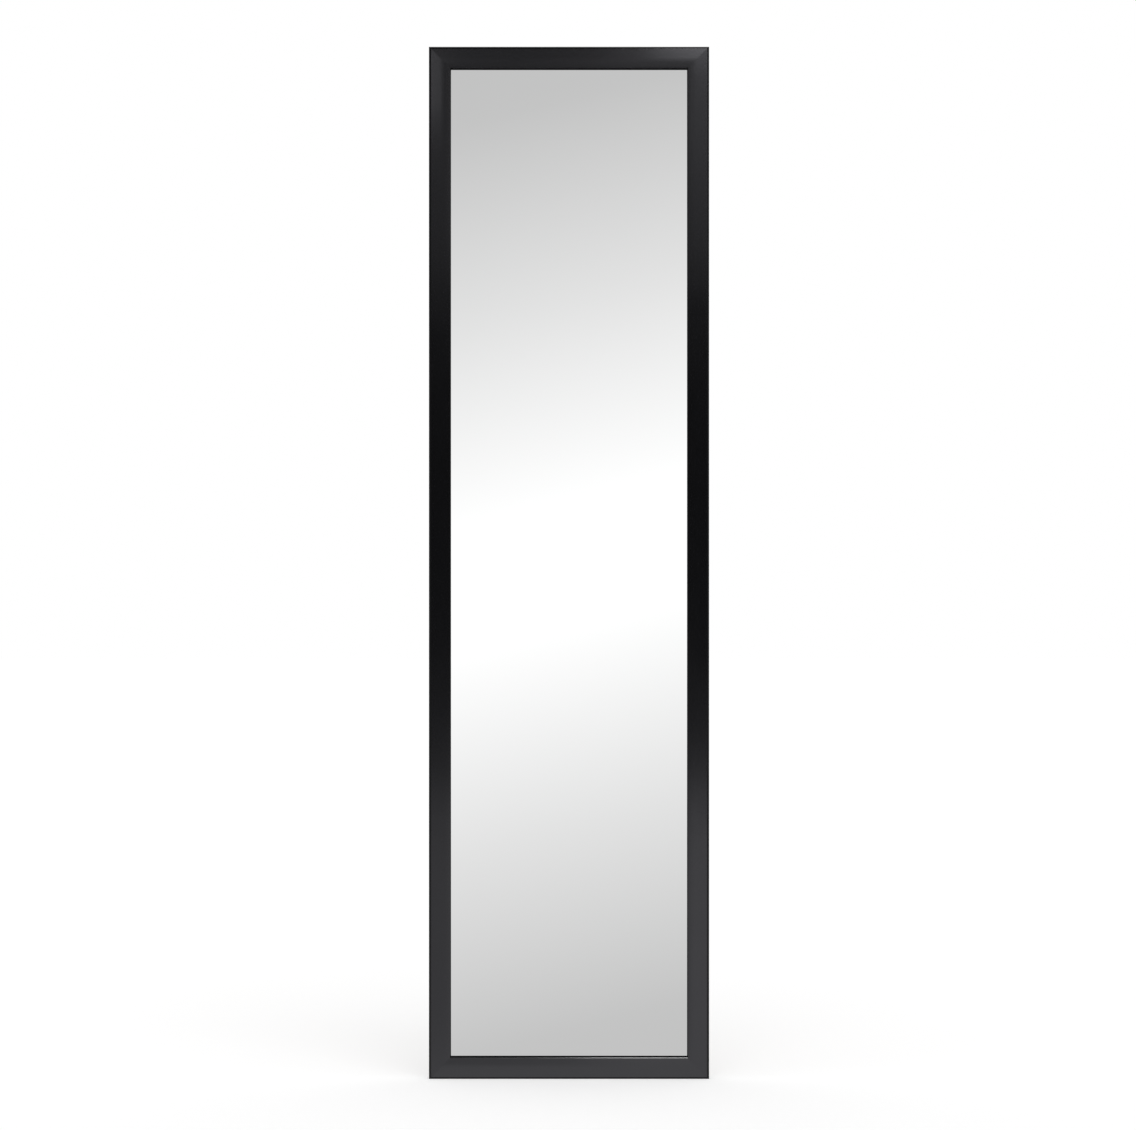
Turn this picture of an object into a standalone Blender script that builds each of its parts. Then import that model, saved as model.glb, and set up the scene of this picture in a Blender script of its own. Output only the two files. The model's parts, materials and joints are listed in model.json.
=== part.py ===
"""Over-the-door mirror: a slim full-length looking glass in a mitred black frame.

Two slotted steel hooks slide on the backs of the stiles and carry the frame on the top of a door. Turn
buttons swivel on the back of the frame and hold the backing board and the mirror pane in its rabbet.

Metres, +Z up. The glass faces -Y. The origin is on the top front edge of the door, midway between the
hooks, with the hooks slid fully down so that they hide behind the frame.
"""

import math

import bmesh
import bpy
from mathutils import Matrix, Vector

# Frame
FRAME_WIDTH = 0.342
FRAME_HEIGHT = 1.260
FACE_WIDTH = 0.0265  # outer edge to sight edge
RABBET_WIDTH = 0.0085  # how far the frame laps over the pane
LIP_DEPTH = 0.009  # front of the crown to the seat of the pane
SHOULDER_RADIUS = 0.003  # round outer edge of the face
CROWN_RISE = 0.0004  # how much the outer face swells
CREASE_INSET = 0.0160  # outer edge to the crease between the two zones of the face
SIGHT_DROP = 0.0006  # how far the inner zone falls towards the glass
SIGHT_RADIUS = 0.0008  # round edge of the lip
MITRE_GAP = 0.0002

# Pane and backing
PANE_THICKNESS = 0.003
BOARD_THICKNESS = 0.003
PANE_PLAY = 0.0006  # free space round the pane in its rabbet
PANE_SEAM = 0.0004  # ground edge of the glass
BOARD_CORNER_RADIUS = 0.002

# Clearance between pieces that seat on or pass through each other
FIT_GAP = 0.0003

# Corner wedges, pressed into the back of each mitre
WEDGES_PER_CORNER = 2
WEDGE_EDGE = 0.003  # moulding left between the wedges and its edges
WEDGE_WING = 0.0045
WEDGE_ANGLE = math.radians(105)
WEDGE_THICKNESS = 0.0005
WEDGE_DEPTH = 0.007

# Pan-head screws, one size throughout
SCREW_RADIUS = 0.00175
SCREW_LENGTH = 0.012
SCREW_TIP = 0.0025
SCREW_HEAD_RADIUS = 0.0036
SCREW_HEAD_HEIGHT = 0.002
SCREW_HEAD_RIM = 0.0006
RECESS_LENGTH = 0.0038
RECESS_WIDTH = 0.0009
RECESS_DEPTH = 0.0011
SCREW_SIDES = 16

# Turn buttons
BUTTON_LENGTH = 0.028
BUTTON_WIDTH = 0.011
BUTTON_THICKNESS = 0.0012
BUTTONS_PER_STILE = 4
FIRST_BUTTON_GAP = 0.070  # lower end of a hook to the first button on its stile
LAST_BUTTON_RISE = 0.200  # bottom of the frame to the last button on a stile

# Door and hooks
DOOR_THICKNESS = 0.0445  # thickest door that the hooks take
DOOR_PLAY = 0.001
HOOK_WIDTH = 0.016
HOOK_THICKNESS = 0.0015
HOOK_BEND_RADIUS = 0.002  # inside of the bends
HOOK_LEG = 0.028  # seat on the door to the end of the rear leg
HOOK_RECESS = 0.0037  # top of the frame down to the top of a hook that is slid fully down
HOOK_TRAVEL = 0.080
HOOK_SCREW_DROP = 0.030  # top of the frame to a hook's upper screw
HOOK_SCREW_SPACING = 0.040
HOOK_END_MARGIN = 0.008  # end of the slot to the end of the strap
HOOK_CORNER_RADIUS = 0.004
HEAD_TO_DOOR = 0.0004  # screw heads stay this far off the door
PAD_THICKNESS = 0.0015
PAD_SIDE_MARGIN = 0.001
PAD_END_MARGIN = 0.003
PAD_CORNER_RADIUS = 0.0015

# Bumpers
BUMPER_RADIUS = 0.007
BUMPER_TAPER = 0.0008
BUMPER_INSET = 0.036  # side of the frame to the middle of a bumper
BUMPER_SIDES = 24

# Worked out from the sizes above
RABBET_DEPTH = FIT_GAP + PANE_THICKNESS + FIT_GAP + BOARD_THICKNESS
FRAME_DEPTH = LIP_DEPTH + RABBET_DEPTH
BACK_WIDTH = FACE_WIDTH - RABBET_WIDTH
STANDOFF = FIT_GAP + max(HOOK_THICKNESS, BUTTON_THICKNESS) + FIT_GAP + SCREW_HEAD_HEIGHT + HEAD_TO_DOOR
FRAME_BACK = -STANDOFF
FRAME_TOP = PAD_THICKNESS + FIT_GAP + HOOK_THICKNESS + HOOK_RECESS
FRAME_BOTTOM = FRAME_TOP - FRAME_HEIGHT
FRAME_MIDDLE = FRAME_TOP - FRAME_HEIGHT / 2
SIDE_LINE = FRAME_WIDTH / 2 - BACK_WIDTH / 2  # middle of a stile's back
TOP_LINE = FRAME_TOP - BACK_WIDTH / 2  # middle of the top rail's back
BOTTOM_LINE = FRAME_BOTTOM + BACK_WIDTH / 2
HOLE_RADIUS = SCREW_RADIUS + FIT_GAP
PANE_WIDTH = FRAME_WIDTH - 2 * (BACK_WIDTH + PANE_PLAY)
PANE_HEIGHT = FRAME_HEIGHT - 2 * (BACK_WIDTH + PANE_PLAY)
SIDES = {"left": -1, "right": 1}


def clear_scene():
    for obj in list(bpy.data.objects):
        bpy.data.objects.remove(obj, do_unlink=True)


def material(name, colour, roughness, metallic=0.0):
    made = bpy.data.materials.new(name)
    made.use_nodes = True
    shader = made.node_tree.nodes["Principled BSDF"]
    shader.inputs["Base Color"].default_value = (*colour, 1.0)
    shader.inputs["Roughness"].default_value = roughness
    shader.inputs["Metallic"].default_value = metallic
    made.diffuse_color = (*colour, 1.0)
    return made


def add_empty(name, location, parent=None):
    empty = bpy.data.objects.new(name, None)
    bpy.context.scene.collection.objects.link(empty)
    empty.location = location
    empty.parent = parent
    return empty


def add_object(name, bm, finish, location=(0, 0, 0), turn=0.0, parent=None):
    """An object from a bmesh, with its origin at location, turned about Y."""
    bmesh.ops.recalc_face_normals(bm, faces=bm.faces)
    mesh = bpy.data.meshes.new(name)
    bm.to_mesh(mesh)
    bm.free()
    mesh.shade_smooth()
    mesh.set_sharp_from_angle(angle=math.radians(35))
    if finish:
        mesh.materials.append(finish)
    obj = bpy.data.objects.new(name, mesh)
    bpy.context.scene.collection.objects.link(obj)
    obj.location = location
    obj.rotation_euler = (0, turn, 0)
    obj.parent = parent
    return obj


def add_cutter(name, bm, parent=None):
    cutter = add_object(name, bm, None, parent=parent)
    cutter.hide_render = True
    cutter.display_type = "WIRE"
    return cutter


def cut(obj, cutter):
    modifier = obj.modifiers.new(cutter.name, "BOOLEAN")
    modifier.operation = "DIFFERENCE"
    modifier.solver = "EXACT"
    modifier.object = cutter


def arc(centre, radius, start, end, steps):
    """Points of an arc in the plane, from one angle in degrees to another."""
    points = []
    for step in range(steps + 1):
        angle = math.radians(start + (end - start) * step / steps)
        points.append((centre[0] + radius * math.cos(angle), centre[1] + radius * math.sin(angle)))
    return points


def add_prism(bm, outline, y_low, y_high):
    """Adds an outline of (x, z) points to bm, extruded along Y."""
    rings = [[bm.verts.new((x, y, z)) for x, z in outline] for y in (y_low, y_high)]
    for i in range(len(outline)):
        j = (i + 1) % len(outline)
        bm.faces.new((rings[0][i], rings[0][j], rings[1][j], rings[1][i]))
    bm.faces.new(rings[0])
    bm.faces.new(rings[1])
    return rings


def add_turned(bm, profile, sides):
    """Adds a profile of (radius, y) points, both ends on the axis, turned about Y."""
    rings = []
    for radius, y in profile:
        if radius == 0:
            rings.append([bm.verts.new((0, y, 0))] * sides)
            continue
        angles = (2 * math.pi * i / sides for i in range(sides))
        rings.append([bm.verts.new((radius * math.cos(a), y, radius * math.sin(a))) for a in angles])
    for low, high in zip(rings, rings[1:]):
        for i in range(sides):
            j = (i + 1) % sides
            corners = dict.fromkeys((low[i], low[j], high[j], high[i]))
            bm.faces.new(corners)


def stadium(length, width, steps=8):
    """Outline with two round ends, centred, long in z."""
    reach = (length - width) / 2
    return arc((0, reach), width / 2, 0, 180, steps) + arc((0, -reach), width / 2, 180, 360, steps)


def moulding_profile():
    """Cross-section of the frame as (inwards from the outer edge, forwards from the back) points."""
    shoulder_top = FRAME_DEPTH - CROWN_RISE
    points = [(0, 0)]
    points += arc((SHOULDER_RADIUS, shoulder_top - SHOULDER_RADIUS), SHOULDER_RADIUS, 180, 90, 5)
    crown_span = CREASE_INSET - SHOULDER_RADIUS
    crown_steps = 5
    for step in range(1, crown_steps + 1):
        share = step / crown_steps
        points.append((SHOULDER_RADIUS + crown_span * share, FRAME_DEPTH - CROWN_RISE * (1 - share) ** 2))
    lip_centre = (FACE_WIDTH - SIGHT_RADIUS, FRAME_DEPTH - SIGHT_DROP - SIGHT_RADIUS)
    points += arc(lip_centre, SIGHT_RADIUS, 90, 0, 3)
    points += [(FACE_WIDTH, RABBET_DEPTH), (BACK_WIDTH, RABBET_DEPTH), (BACK_WIDTH, 0)]
    return points


def add_rail(name, length, location, turn, finish, parent):
    """One length of moulding along local X, its outer edge at the origin, mitred at both ends."""
    bm = bmesh.new()
    mitre_shift = MITRE_GAP / 2 * math.sqrt(2)
    profile = moulding_profile()
    ends = []
    for sign in (-1, 1):
        ends.append([bm.verts.new((sign * (length / 2 - u - mitre_shift), -w, -u)) for u, w in profile])
    for i in range(len(profile)):
        j = (i + 1) % len(profile)
        bm.faces.new((ends[0][i], ends[0][j], ends[1][j], ends[1][i]))
    bm.faces.new(ends[0])
    bm.faces.new(ends[1])
    return add_object(name, bm, finish, location, turn, parent)


def add_frame(finish, parent):
    half = FRAME_WIDTH / 2
    quarter = math.pi / 2
    return [
        add_rail("top_rail", FRAME_WIDTH, (0, FRAME_BACK, FRAME_TOP), 0, finish, parent),
        add_rail("bottom_rail", FRAME_WIDTH, (0, FRAME_BACK, FRAME_BOTTOM), math.pi, finish, parent),
        add_rail("left_stile", FRAME_HEIGHT, (-half, FRAME_BACK, FRAME_MIDDLE), -quarter, finish, parent),
        add_rail("right_stile", FRAME_HEIGHT, (half, FRAME_BACK, FRAME_MIDDLE), quarter, finish, parent),
    ]


def add_pane(finish, parent):
    """The silvered glass, with its edges ground back a little."""
    bm = bmesh.new()
    bmesh.ops.create_cube(bm, size=1, matrix=Matrix.Diagonal((PANE_WIDTH, PANE_THICKNESS, PANE_HEIGHT, 1)))
    bmesh.ops.bevel(bm, geom=bm.edges[:], offset=PANE_SEAM, segments=1, affect="EDGES")
    front = FRAME_BACK - RABBET_DEPTH + FIT_GAP
    return add_object("mirror_pane", bm, finish, (0, front + PANE_THICKNESS / 2, FRAME_MIDDLE), parent=parent)


def add_board(finish, parent):
    """The backing board, flush with the back of the frame."""
    bm = bmesh.new()
    size = Matrix.Diagonal((PANE_WIDTH, BOARD_THICKNESS, PANE_HEIGHT, 1))
    bmesh.ops.create_cube(bm, size=1, matrix=size)
    corners = [e for e in bm.edges if abs((e.verts[0].co - e.verts[1].co).normalized().y) > 0.9]
    bmesh.ops.bevel(bm, geom=corners, offset=BOARD_CORNER_RADIUS, segments=4, affect="EDGES")
    location = (0, FRAME_BACK - BOARD_THICKNESS / 2, FRAME_MIDDLE)
    return add_object("backing_board", bm, finish, location, parent=parent)


def wedge_outline(across, up, inset, grow):
    """V outline on a corner's mitre, its point outwards, thickened all round by grow."""
    mitre = Vector((-across, -up)).normalized()
    point = Vector((across * (FRAME_WIDTH / 2 - inset), FRAME_MIDDLE + up * (FRAME_HEIGHT / 2 - inset)))
    half_angle = WEDGE_ANGLE / 2
    wings = []
    for sign in (-1, 1):
        along = Matrix.Rotation(sign * half_angle, 2) @ mitre
        wings.append((along, Vector((-along.y, along.x)) * sign))
    half_thickness = WEDGE_THICKNESS / 2 + grow
    corner = mitre * (half_thickness / math.sin(half_angle))
    reach = WEDGE_WING + grow
    (first, first_in), (second, second_in) = wings
    return [
        point - corner,
        point + first * reach + first_in * half_thickness,
        point + first * reach - first_in * half_thickness,
        point + corner,
        point + second * reach - second_in * half_thickness,
        point + second * reach + second_in * half_thickness,
    ]


def wedge_insets():
    """Outer edge to the point of each wedge of a corner, shared out over the back of the moulding."""
    last = BACK_WIDTH - WEDGE_EDGE - WEDGE_WING
    steps = max(1, WEDGES_PER_CORNER - 1)
    return [WEDGE_EDGE + (last - WEDGE_EDGE) * i / steps for i in range(WEDGES_PER_CORNER)]


def add_wedges(finish, parent):
    """The corner wedges and the pockets that they sit in."""
    back = FRAME_BACK - FIT_GAP
    pockets = bmesh.new()
    for height, up in (("top", 1), ("bottom", -1)):
        for side, across in SIDES.items():
            for number, inset in enumerate(wedge_insets(), 1):
                bm = bmesh.new()
                add_prism(bm, wedge_outline(across, up, inset, 0), back - WEDGE_DEPTH, back)
                add_object(f"{height}_{side}_corner_wedge_{number}", bm, finish, parent=parent)
                pocket = wedge_outline(across, up, inset, FIT_GAP)
                add_prism(pockets, pocket, back - WEDGE_DEPTH - FIT_GAP, FRAME_BACK + FIT_GAP)
    bmesh.ops.recalc_face_normals(pockets, faces=pockets.faces)
    return add_cutter("corner_pocket_cutters", pockets, parent)


def screw_mesh():
    """A pan-head screw with its seat at the origin and its head towards +Y."""
    bm = bmesh.new()
    dome = []
    for step in range(4):
        angle = math.pi / 2 * step / 3
        rise = (SCREW_HEAD_HEIGHT - SCREW_HEAD_RIM) * math.sin(angle)
        dome.append((SCREW_HEAD_RADIUS * math.cos(angle) if step < 3 else 0, SCREW_HEAD_RIM + rise))
    shank = [(0, -SCREW_LENGTH), (SCREW_RADIUS, SCREW_TIP - SCREW_LENGTH), (SCREW_RADIUS, 0)]
    add_turned(bm, shank + [(SCREW_HEAD_RADIUS, 0)] + dome, SCREW_SIDES)
    return bm


def add_screw(name, x, seat, z, finish, parent):
    """A screw whose head seats at y = seat, with its cross recess."""
    screw = add_object(name, screw_mesh(), finish, (x, seat, z), parent=parent)
    recess = bmesh.new()
    top = SCREW_HEAD_HEIGHT + FIT_GAP
    half, arm = RECESS_WIDTH / 2, RECESS_LENGTH / 2
    cross = []
    for turn in range(4):
        quarter = Matrix.Rotation(turn * math.pi / 2, 2)
        cross += [quarter @ Vector(p) for p in ((arm, -half), (arm, half), (half, half))]
    add_prism(recess, cross, SCREW_HEAD_HEIGHT - RECESS_DEPTH, top)
    cut(screw, add_cutter(f"{name}_recess_cutter", recess, screw))
    return screw


def add_hole(bm, x, seat, z):
    """Adds to bm the hole for a screw that seats at y = seat, open towards the door."""
    hole = bmesh.new()
    bottom = seat - SCREW_LENGTH - FIT_GAP
    profile = [(0, bottom), (HOLE_RADIUS, bottom), (HOLE_RADIUS, 0), (0, 0)]
    add_turned(hole, profile, SCREW_SIDES)
    bmesh.ops.translate(hole, verts=hole.verts, vec=(x, 0, z))
    moved = bpy.data.meshes.new("screw_hole")
    hole.to_mesh(moved)
    hole.free()
    bm.from_mesh(moved)
    bpy.data.meshes.remove(moved)


def button_places():
    """(name, x, z, turn about Y) of each turn button; at no turn its tip points down."""
    places = [("top", 0.0, TOP_LINE, 0.0), ("bottom", 0.0, BOTTOM_LINE, math.pi)]
    first = hook_end() - FIRST_BUTTON_GAP
    last = FRAME_BOTTOM + LAST_BUTTON_RISE
    for side, sign in SIDES.items():
        for i in range(BUTTONS_PER_STILE):
            z = first + (last - first) * i / (BUTTONS_PER_STILE - 1)
            places.append((f"{side}_{i + 1}", sign * SIDE_LINE, z, sign * math.pi / 2))
    return places


def add_buttons(finish, screw_finish, holes, parent):
    """Turn buttons, each with its origin on its screw's axis, and their screws."""
    buttons = []
    seat = FRAME_BACK + FIT_GAP + BUTTON_THICKNESS + FIT_GAP
    for place, x, z, turn in button_places():
        bm = bmesh.new()
        add_prism(bm, stadium(BUTTON_LENGTH, BUTTON_WIDTH), FIT_GAP, FIT_GAP + BUTTON_THICKNESS)
        bmesh.ops.translate(bm, verts=bm.verts, vec=(0, 0, BUTTON_WIDTH / 2 - BUTTON_LENGTH / 2))
        buttons.append(add_object(f"turn_button_{place}", bm, finish, (x, FRAME_BACK, z), turn, parent))
        add_screw(f"turn_button_screw_{place}", x, seat, z, screw_finish, parent)
        add_hole(holes, x, seat, z)
    return buttons


def hook_outline():
    """Side view of a hook as (y, z) points, from the end of its shank up, over the door and down."""
    shank_front = FRAME_BACK + FIT_GAP
    shank_back = shank_front + HOOK_THICKNESS
    leg_front = DOOR_THICKNESS + DOOR_PLAY
    leg_back = leg_front + HOOK_THICKNESS
    under = PAD_THICKNESS + FIT_GAP
    inner, outer = HOOK_BEND_RADIUS, HOOK_BEND_RADIUS + HOOK_THICKNESS
    front_bend = (shank_back + inner, under - inner)
    rear_bend = (leg_front - inner, under - inner)
    points = [(shank_front, hook_end())]
    points += arc(front_bend, outer, 180, 90, 5)
    points += arc(rear_bend, outer, 90, 0, 5)
    points += [(leg_back, -HOOK_LEG), (leg_front, -HOOK_LEG)]
    points += arc(rear_bend, inner, 0, 90, 5)
    points += arc(front_bend, inner, 90, 180, 5)
    points += [(shank_back, hook_end())]
    return points


def slot_span():
    """Lower and upper end of a hook's slot when the hook is slid fully down."""
    upper = FRAME_TOP - HOOK_SCREW_DROP + HOLE_RADIUS
    lower = FRAME_TOP - HOOK_SCREW_DROP - HOOK_SCREW_SPACING - HOOK_TRAVEL - HOLE_RADIUS
    return lower, upper


def hook_end():
    return slot_span()[0] - HOOK_END_MARGIN


def add_hook(side, x, finish, pad_finish, parent):
    """A slotted strap bent over the door and the pad under its bridge, on an empty at the hook's seat."""
    slide = add_empty(f"{side}_hook_slide", (x, 0, 0), parent)
    bm = bmesh.new()
    rings = [[bm.verts.new((sx * HOOK_WIDTH / 2, y, z)) for y, z in hook_outline()] for sx in (-1, 1)]
    for i in range(len(rings[0])):
        j = (i + 1) % len(rings[0])
        bm.faces.new((rings[0][i], rings[0][j], rings[1][j], rings[1][i]))
    bm.faces.new(rings[0])
    bm.faces.new(rings[1])
    bmesh.ops.recalc_face_normals(bm, faces=bm.faces)
    ends = (hook_end(), -HOOK_LEG)
    corners = [e for e in bm.edges if on_strap_end(e, ends)]
    bmesh.ops.bevel(bm, geom=corners, offset=HOOK_CORNER_RADIUS, segments=4, affect="EDGES")
    strap = add_object(f"{side}_door_hook", bm, finish, parent=slide)
    lower, upper = slot_span()
    slot = bmesh.new()
    add_prism(slot, stadium(upper - lower, 2 * HOLE_RADIUS), FRAME_BACK, 0)
    bmesh.ops.translate(slot, verts=slot.verts, vec=(0, 0, (upper + lower) / 2))
    cut(strap, add_cutter(f"{side}_hook_slot_cutter", slot, slide))
    add_pad(side, pad_finish, slide)


def on_strap_end(edge, ends):
    """Whether an edge runs through the strap's thickness at one of its two ends."""
    first, second = (v.co for v in edge.verts)
    level = abs(first.z - second.z) < FIT_GAP / 10
    across = abs(first.x - second.x) < FIT_GAP / 10
    return level and across and any(abs(first.z - end) < FIT_GAP / 10 for end in ends)


def add_pad(side, finish, parent):
    """Foam under the bridge of a hook, its lower face on the door."""
    length = DOOR_THICKNESS - 2 * PAD_END_MARGIN
    width = HOOK_WIDTH - 2 * PAD_SIDE_MARGIN
    bm = bmesh.new()
    bmesh.ops.create_cube(bm, size=1, matrix=Matrix.Diagonal((width, length, PAD_THICKNESS, 1)))
    corners = [e for e in bm.edges if abs((e.verts[0].co - e.verts[1].co).normalized().z) > 0.9]
    bmesh.ops.bevel(bm, geom=corners, offset=PAD_CORNER_RADIUS, segments=3, affect="EDGES")
    location = (0, DOOR_THICKNESS / 2, PAD_THICKNESS / 2)
    return add_object(f"{side}_hook_pad", bm, finish, location, parent=parent)


def add_hooks(finish, screw_finish, pad_finish, holes, parent):
    seat = FRAME_BACK + FIT_GAP + HOOK_THICKNESS + FIT_GAP
    upper = FRAME_TOP - HOOK_SCREW_DROP
    heights = {"upper": upper, "lower": upper - HOOK_SCREW_SPACING}
    for side, sign in SIDES.items():
        x = sign * SIDE_LINE
        add_hook(side, x, finish, pad_finish, parent)
        for height, z in heights.items():
            add_screw(f"{side}_hook_screw_{height}", x, seat, z, screw_finish, parent)
            add_hole(holes, x, seat, z)


def add_bumpers(finish, parent):
    """Rubber feet on the back of the bottom rail, as deep as the gap to the door."""
    thickness = STANDOFF - FIT_GAP
    profile = [
        (0, 0),
        (BUMPER_RADIUS, 0),
        (BUMPER_RADIUS, thickness / 2),
        (BUMPER_RADIUS - BUMPER_TAPER, thickness),
        (0, thickness),
    ]
    for side, sign in SIDES.items():
        bm = bmesh.new()
        add_turned(bm, profile, BUMPER_SIDES)
        x = sign * (FRAME_WIDTH / 2 - BUMPER_INSET)
        add_object(f"{side}_bumper", bm, finish, (x, FRAME_BACK + FIT_GAP, BOTTOM_LINE), parent=parent)


def main():
    clear_scene()
    frame_black = material("black_moulding", (0.006, 0.006, 0.0065), 0.38)
    silvered = material("silvered_glass", (0.92, 0.93, 0.925), 0.02, 1.0)
    hardboard = material("hardboard", (0.24, 0.13, 0.065), 0.75)
    zinc = material("zinc_plate", (0.56, 0.57, 0.58), 0.35, 1.0)
    hook_black = material("black_powder_coat", (0.012, 0.012, 0.013), 0.5)
    foam = material("pad_foam", (0.03, 0.03, 0.032), 0.9)
    rubber = material("bumper_rubber", (0.02, 0.02, 0.021), 0.7)

    root = add_empty("mirror", (0, 0, 0))
    rails = add_frame(frame_black, root)
    add_pane(silvered, root)
    add_board(hardboard, root)
    pockets = add_wedges(zinc, root)
    holes = bmesh.new()
    buttons = add_buttons(zinc, zinc, holes, root)
    add_hooks(hook_black, zinc, foam, holes, root)
    add_bumpers(rubber, root)
    hole_cutters = add_cutter("screw_hole_cutters", holes, root)
    for rail in rails:
        cut(rail, pockets)
        cut(rail, hole_cutters)
    for button in buttons:
        cut(button, hole_cutters)


main()
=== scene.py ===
"""Over-the-door mirror: the looks of a slim full-length mirror in a mitred black frame.

The construction is loaded as a fixed frame. Each operator models one piece, or a group of like pieces, in
its place, gives it a finish and lets it ride on the body that carries it.

Metres, +Z up. The glass faces -Y, towards the camera.
"""

import json
import math

import bmesh
import bpy
from bpy.props import FloatProperty, FloatVectorProperty, PointerProperty
from bpy.types import Operator, Panel, PropertyGroup
from mathutils import Matrix, Vector

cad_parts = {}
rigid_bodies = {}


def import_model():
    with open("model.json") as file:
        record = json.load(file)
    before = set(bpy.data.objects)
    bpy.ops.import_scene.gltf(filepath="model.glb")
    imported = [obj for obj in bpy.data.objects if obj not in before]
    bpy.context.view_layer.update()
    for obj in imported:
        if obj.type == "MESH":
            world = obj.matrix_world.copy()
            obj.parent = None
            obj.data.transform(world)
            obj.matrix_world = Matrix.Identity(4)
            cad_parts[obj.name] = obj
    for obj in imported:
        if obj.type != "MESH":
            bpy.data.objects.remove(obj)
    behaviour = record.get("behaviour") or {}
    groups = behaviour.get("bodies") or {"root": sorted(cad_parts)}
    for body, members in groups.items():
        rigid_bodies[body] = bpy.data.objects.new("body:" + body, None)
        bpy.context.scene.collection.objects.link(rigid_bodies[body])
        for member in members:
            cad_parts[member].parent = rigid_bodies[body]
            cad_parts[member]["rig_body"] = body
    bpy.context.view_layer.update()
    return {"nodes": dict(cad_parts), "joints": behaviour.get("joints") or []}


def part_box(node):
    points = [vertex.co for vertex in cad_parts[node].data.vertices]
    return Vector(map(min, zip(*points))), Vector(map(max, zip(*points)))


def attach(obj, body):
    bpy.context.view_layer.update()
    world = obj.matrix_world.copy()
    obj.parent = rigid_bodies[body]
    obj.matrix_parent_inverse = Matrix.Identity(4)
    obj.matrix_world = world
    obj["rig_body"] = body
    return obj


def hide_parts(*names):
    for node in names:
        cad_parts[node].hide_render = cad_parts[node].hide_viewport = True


bl_info = {
    "name": "Over-the-Door Mirror",
    "version": (1, 0, 0),
    "blender": (4, 5, 0),
    "location": "3D View > Sidebar > Door Mirror",
    "description": "Models a door mirror's frame, glass, backing and hanging hardware",
    "category": "Object",
}

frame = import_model()

# Places that the frame gives
STILE_LOW, STILE_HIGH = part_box("left_stile")
PANE_LOW, PANE_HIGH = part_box("mirror_pane")
HALF_WIDTH = -STILE_LOW.x
FACE_WIDTH = STILE_HIGH.x - STILE_LOW.x
FRAME_FRONT = STILE_LOW.y
FRAME_BACK = STILE_HIGH.y
FRAME_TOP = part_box("top_rail")[1].z
FRAME_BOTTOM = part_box("bottom_rail")[0].z
FRAME_MIDDLE = (FRAME_TOP + FRAME_BOTTOM) / 2
FRAME_HEIGHT = FRAME_TOP - FRAME_BOTTOM

# Free space round the pane and in front of it, in the rabbet
PANE_PLAY = 0.0006
PANE_GAP = 0.0003

# Two places closer than the first are the same place, and vertices closer than the second become one
TOUCH = 0.00002
MERGE = TOUCH / 4

# A piece's corners stay this close to those of the CAD node that it stands for
STRAY = 0.001

# How squarely a face looks along an axis to count as facing that way, and to count as flat across it
FACING = 0.9
FLAT = 0.999

# Cutters reach from the door's face past a piece, to this multiple of its distance from the door
DOOR_FACE = 0.0
CUTTER_REACH = 1.5

# How finely rounds are drawn
SHOULDER_SEGMENTS = 8
CREASE_SEGMENTS = 6
EDGE_SEGMENTS = 3
SMALL_EDGE_SEGMENTS = 2
INNER_CUTS = 4
BEND_STEPS = 10
DISC_SIDES = 48

# Edges bent more than the first are rounded, and edges bent less than the second are shaded smooth
SHARP_ANGLE = math.radians(60)
SMOOTH_ANGLE = math.radians(30)


# Settings


def linear(hex_colour):
    """Turns an sRGB hex colour into linear red, green and blue."""
    channels = [int(hex_colour[i : i + 2], 16) / 255 for i in (1, 3, 5)]
    return tuple(c / 12.92 if c <= 0.04045 else ((c + 0.055) / 1.055) ** 2.4 for c in channels)


def size(name, description, default):
    """A length that a user may change."""
    return FloatProperty(
        name=name, description=description, default=default, min=0.0, precision=5, unit="LENGTH"
    )


def share(name, description, default):
    """A strength of light that a user may change."""
    return FloatProperty(
        name=name, description=description, default=default, min=0.0, precision=3, subtype="FACTOR"
    )


def tint(name, description, hex_colour):
    """A colour that a user may change."""
    return FloatVectorProperty(
        name=name, description=description, default=linear(hex_colour), min=0.0, max=1.0, subtype="COLOR"
    )


class MouldingSettings(PropertyGroup):
    """Section and colour of the frame's moulding"""

    shoulder_radius: size("Shoulder Radius", "Round outer edge of the face", 0.003)
    face_lean: size("Face Lean", "How far the outer face leans back at the shoulder", 0.0004)
    crease_inset: size("Crease Inset", "Outer edge to the crease of the face", 0.016)
    crease_round: size("Crease Round", "How far the crease is rounded to each side", 0.002)
    sight_drop: size("Sight Drop", "How far the inner face falls towards the glass", 0.0006)
    sight_radius: size("Sight Radius", "Round edge of the lip over the glass", 0.0008)
    back_round: size("Back Round", "Broken edges at the back", 0.0004)
    mitre_gap: size("Mitre Gap", "Hairline between two lengths of moulding", 0.00005)
    colour: tint("Colour", "Black of the moulding", "#0A0A0C")
    # The lip's colour, shown without sheen so that the lip stays dark as painted shade
    core: tint("Shaded Lip", "Bare core that shows at the lip", "#141417")


class GlassSettings(PropertyGroup):
    """The mirror pane"""

    seam: size("Ground Edge", "Width of the ground edge of the glass", 0.0004)
    silver: tint("Silver", "Tint of the silvering seen through the glass", "#F5F5F5")
    paint: tint("Backing Paint", "Paint that seals the silvering", "#5E6266")


class BackSettings(PropertyGroup):
    """The backing board and the bumpers"""

    corner_radius: size("Corner Radius", "Round corners of the board", 0.002)
    board_edge: size("Board Edge", "Broken edge round the board's back", 0.0004)
    board: tint("Hardboard", "Main brown of the board", "#7B5A3F")
    fibre: tint("Fibre", "Dark fibres in the board", "#4C3524")
    bumper_edge: size("Bumper Edge", "Round edge of a bumper", 0.0009)
    bumper_dish: size("Bumper Dish", "Depth of the hollow in a bumper's face", 0.0004)
    rubber: tint("Rubber", "Colour of the bumpers", "#262628")


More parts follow.
